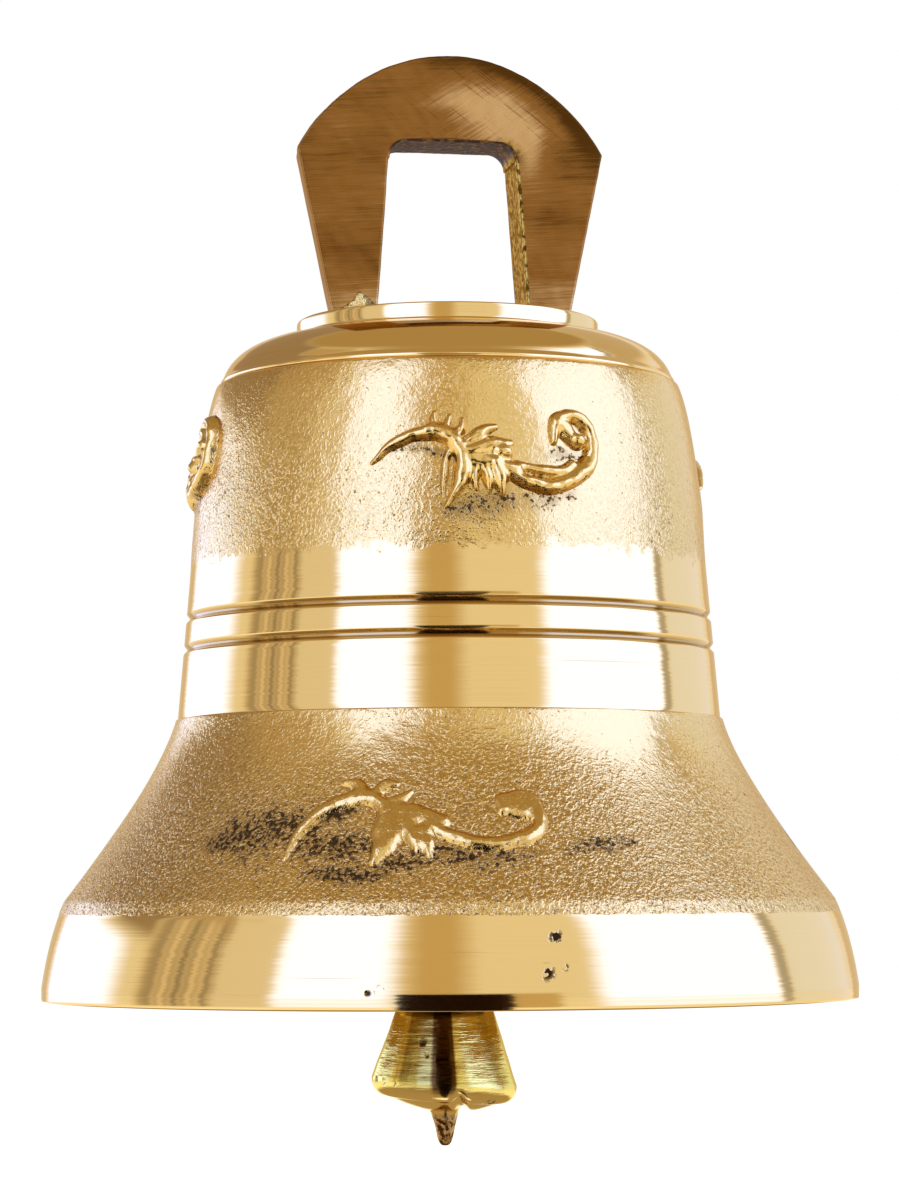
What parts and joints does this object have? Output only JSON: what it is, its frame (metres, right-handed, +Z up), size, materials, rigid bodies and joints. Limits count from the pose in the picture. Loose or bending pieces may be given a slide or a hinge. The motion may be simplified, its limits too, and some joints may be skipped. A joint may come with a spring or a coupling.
{
  "type": "hanging hand bell",
  "caption": "Cast bell with a flared waist, turned bands and scroll relief, hung by a flat window loop, with a ringed clapper that swings inside.",
  "frame": {"origin": "middle of the flat underside of the window's top, where a hook or bolt carries the bell", "axes": "+Z up along the bell's axis; the loop's flat lies in the XZ plane; the front of the picture is near -Y"},
  "size_m": [0.12, 0.12, 0.1616],
  "materials": {
    "cast_brass": "sand cast, with turned and polished bands",
    "filed_brass": "filed and brushed",
    "braze": "as run",
    "steel": "plain drawn wire and rod",
    "clapper_brass": "turned, with casting pores"
  },
  "bodies": {
    "bell": {"bell_shell": "cast_brass", "hanger_loop": "filed_brass", "left_foot_braze": "braze", "right_foot_braze": "braze", "clapper_staple": "steel", "staple_washer": "steel", "staple_lock_nut": "steel"},
    "shackle": {"shackle_ring": "steel"},
    "clapper": {"clapper_shank": "steel", "clapper_head": "clapper_brass"}
  },
  "joints": [
    {"name": "shackle_rock", "type": "hinge", "parent": "bell", "child": "shackle", "pos_m": [-0.0009, 0, -0.0617], "axis": [1, 0, 0], "range_deg": [-8, 8]},
    {"name": "clapper_swing", "type": "hinge", "parent": "shackle", "child": "clapper", "pos_m": [-0.0009, 0, -0.07185], "axis": [0, 1, 0], "range_deg": [-39, 37.5]}
  ]
}
